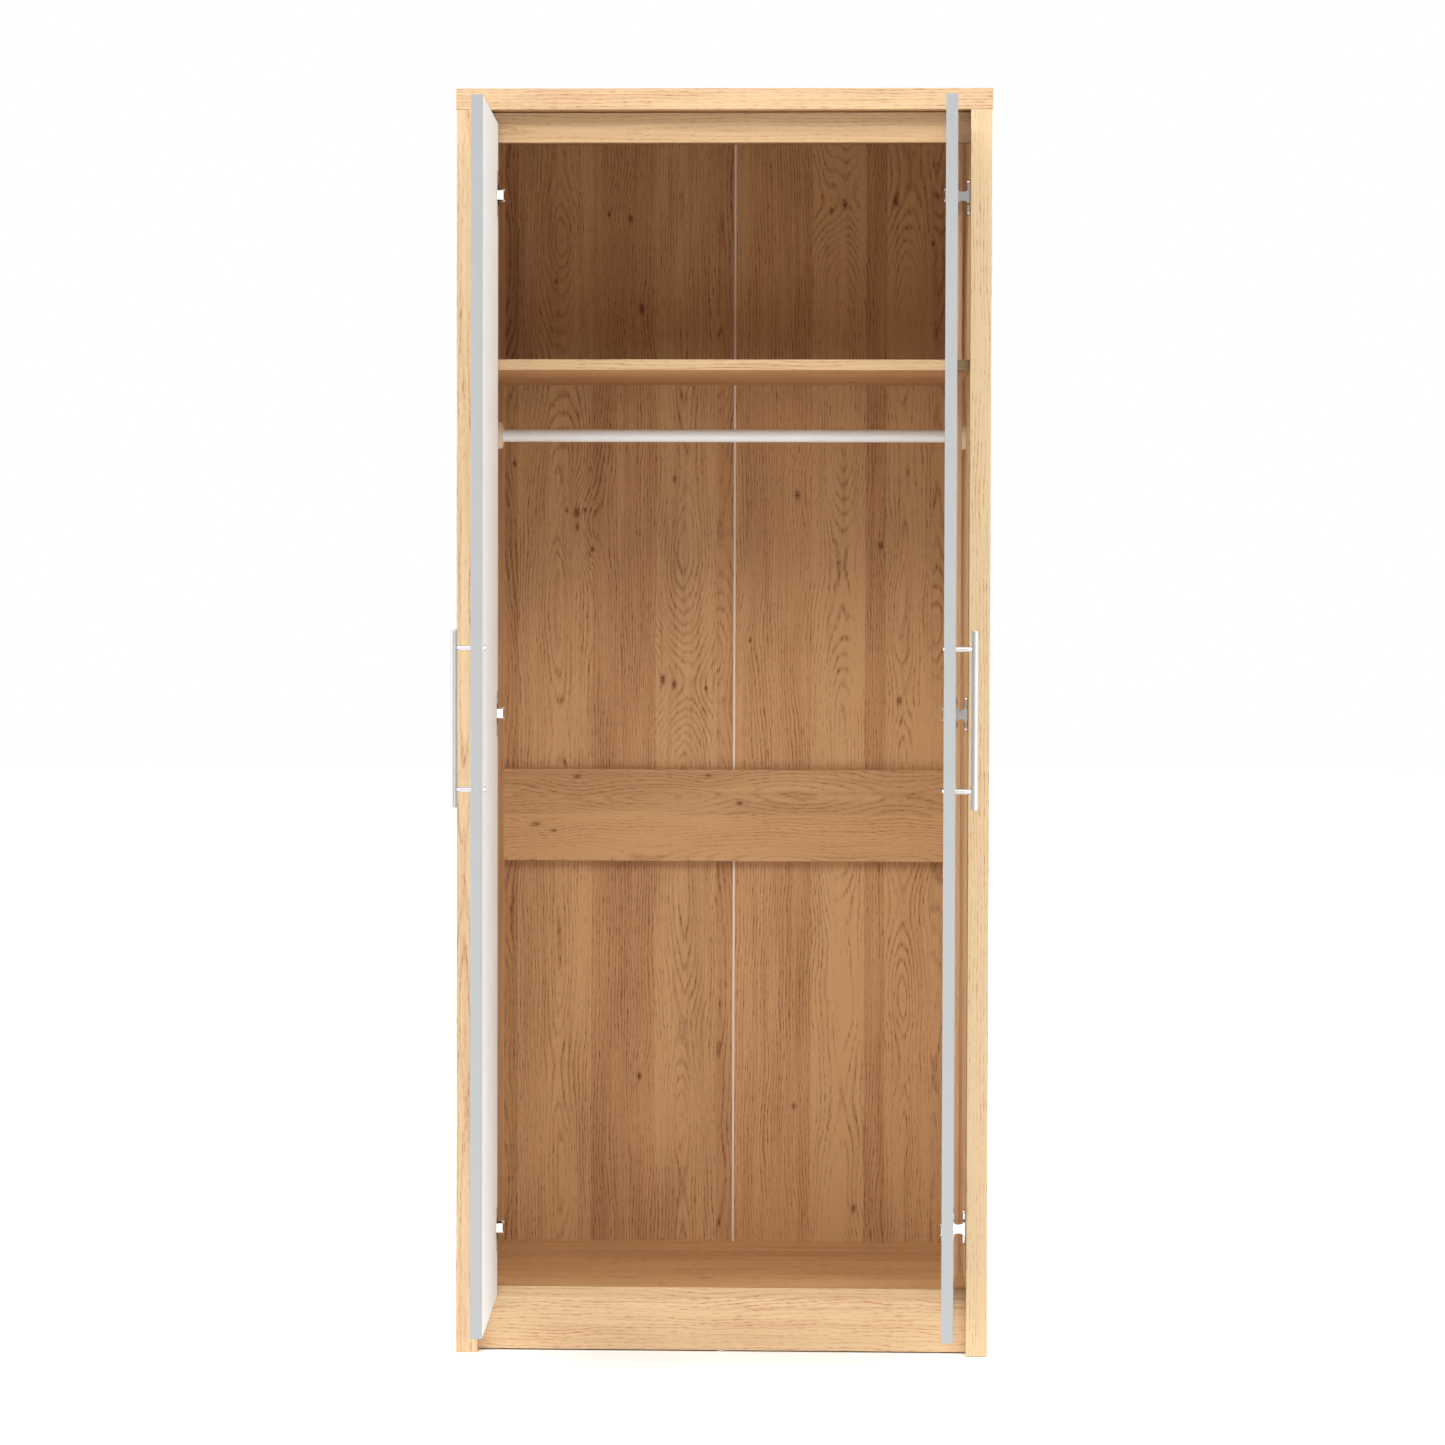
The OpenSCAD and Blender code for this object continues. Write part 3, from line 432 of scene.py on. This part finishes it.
def studio_sky(overhead, crown, front, left, right, horizon, behind, soft=0.04):
    """Wide soft boxes high in front, at both sides and overhead, seen by the camera as white.

    Each level is the strength of one part of the sky, and soft is half the width of a change
    in height between two of them, where 0 is the horizon and 1 is overhead."""
    world = bpy.data.worlds.new("studio")
    world.use_nodes = True
    tree = world.node_tree
    bpy.context.scene.world = world

    def node(kind, values, **settings):
        made = tree.nodes.new(kind)
        for key, value in settings.items():
            setattr(made, key, value)
        for socket, value in zip(made.inputs, values):
            if isinstance(value, bpy.types.NodeSocket):
                tree.links.new(value, socket)
            else:
                socket.default_value = value
        return made

    def blend(value, low, high, a, b):
        return node("ShaderNodeMapRange", (value, low, high, a, b),
                    interpolation_type="SMOOTHSTEP").outputs[0]

    def climb(level, *bands):
        """The level from the horizon up, changing at each (height, level)."""
        for height, above in bands:
            level = blend(z, height - soft, height + soft, level, above)
        return level

    place = node("ShaderNodeTexCoord", ()).outputs["Generated"]
    x, y, z = node("ShaderNodeSeparateXYZ", (place,)).outputs
    toward_front = node("ShaderNodeMath", (y, -1.0), operation="MULTIPLY").outputs[0]
    bearing = node("ShaderNodeMath", (x, toward_front), operation="ARCTAN2").outputs[0]
    foot, front_foot, crown_foot, overhead_foot = 0.26, 0.50, 0.70, 0.865  # heights of the boxes
    middle = climb(horizon, (foot, 0.0), (front_foot, front), (crown_foot, crown))
    near, far = 0.44, 0.87  # bearings, in radians, between which the front gives way to a side
    ahead = blend(bearing, -far, -near, climb(horizon, (foot, left)), middle)
    ahead = blend(bearing, near, far, ahead, climb(horizon, (foot, right)))
    around = blend(toward_front, -0.17, 0.09, behind, ahead)
    strength = climb(around, (overhead_foot, overhead))
    seen = node("ShaderNodeLightPath", ()).outputs["Is Camera Ray"]
    shown = node("ShaderNodeMapRange", (seen, 0.0, 1.0, strength, 1.0)).outputs[0]
    tree.links.new(shown, tree.nodes["Background"].inputs["Strength"])
    tree.nodes["Background"].inputs["Color"].default_value = (1, 1, 1, 1)


def mirror_card(name, at, aim, size, power):
    """A white card that only shows as a reflection in metal and gloss."""
    soft_light(name, at, aim, size, power)
    bpy.data.objects[name].visible_diffuse = False
    bpy.data.objects[name].visible_camera = False


bpy.context.scene.view_settings.view_transform = "Standard"
studio_floor(half=20, front=6.5)
studio_sky(overhead=1.05, crown=2.75, front=5.8, left=5.3, right=3.85, horizon=0.5, behind=0.6)
mirror_card("card_front", (3.2, -6.0, 1.2), (0, 0, 1.0), (3.0, 3.0), 45)
mirror_card("card_left", (-5.0, -1.5, 1.2), (0, 0, 1.0), (4.0, 3.0), 40)
mirror_card("card_right", (5.0, -1.5, 1.2), (0, 0, 1.0), (4.0, 3.0), 40)
photo_camera(at=(0.1923, -6.0614, 1.0816), yaw=1.89, pitch=1.76, roll=0.15, lens=102.27)
